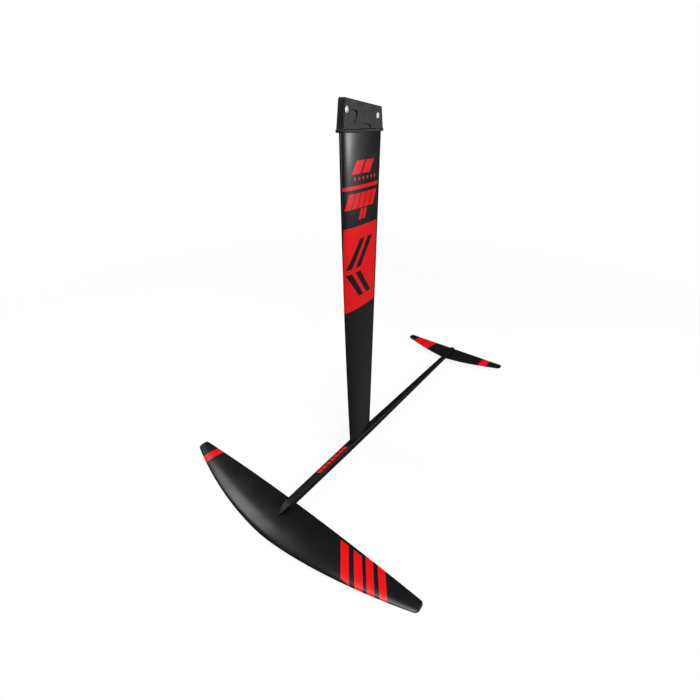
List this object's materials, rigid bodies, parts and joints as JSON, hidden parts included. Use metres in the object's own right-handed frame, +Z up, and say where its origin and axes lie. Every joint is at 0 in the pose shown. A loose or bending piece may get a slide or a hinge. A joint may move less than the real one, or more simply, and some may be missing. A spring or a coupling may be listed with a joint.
{
  "type": "hydrofoil",
  "caption": "Water sports hydrofoil: tapered carbon mast with a wedge head, slim fuselage, swept front wing and small stabiliser.",
  "frame": {"origin": "on the ground, at the centre of the rectangle that the foil covers; the tips of the front wing touch z = 0", "axes": "+Z up along the mast, -Y the direction of travel (front wing), +Y towards the stabiliser, X across the wings"},
  "size_m": [0.7648, 1.0788, 0.904],
  "materials": {
    "carbon": "satin clear-coated carbon laminate, black, with painted red graphics",
    "moulded_head": "fine textured moulded carbon-filled plastic, dark grey",
    "anodised_aluminium": "bead-blasted black anodised",
    "foam": "closed-cell structural foam",
    "aluminium": "milled",
    "stainless_steel": "turned stainless steel"
  },
  "bodies": {
    "root": {"mast_shell": "carbon", "mast_core": "foam", "mast_foot_block": "aluminium", "mast_head": "moulded_head", "fuselage": "anodised_aluminium", "front_wing_top_skin": "carbon", "front_wing_bottom_skin": "carbon", "front_wing_core": "foam", "stabilizer": "carbon", "mast_screw_front": "stainless_steel", "mast_screw_rear": "stainless_steel", "wing_screw_front": "stainless_steel", "wing_screw_rear": "stainless_steel", "wing_insert_front": "stainless_steel", "wing_insert_rear": "stainless_steel", "stabilizer_screw_front": "stainless_steel", "stabilizer_screw_rear": "stainless_steel", "stabilizer_insert_front": "stainless_steel", "stabilizer_insert_rear": "stainless_steel"},
    "barrel_nut_front": {"barrel_nut_front": "stainless_steel"},
    "barrel_nut_rear": {"barrel_nut_rear": "stainless_steel"}
  },
  "joints": [
    {"name": "front_nut_swivel", "type": "hinge", "parent": "root", "child": "barrel_nut_front", "pos_m": [0, -0.21357, 0.88567], "axis": [1, 0, 0], "continuous": true},
    {"name": "rear_nut_swivel", "type": "hinge", "parent": "root", "child": "barrel_nut_rear", "pos_m": [0, -0.11457, 0.87579], "axis": [1, 0, 0], "continuous": true}
  ]
}
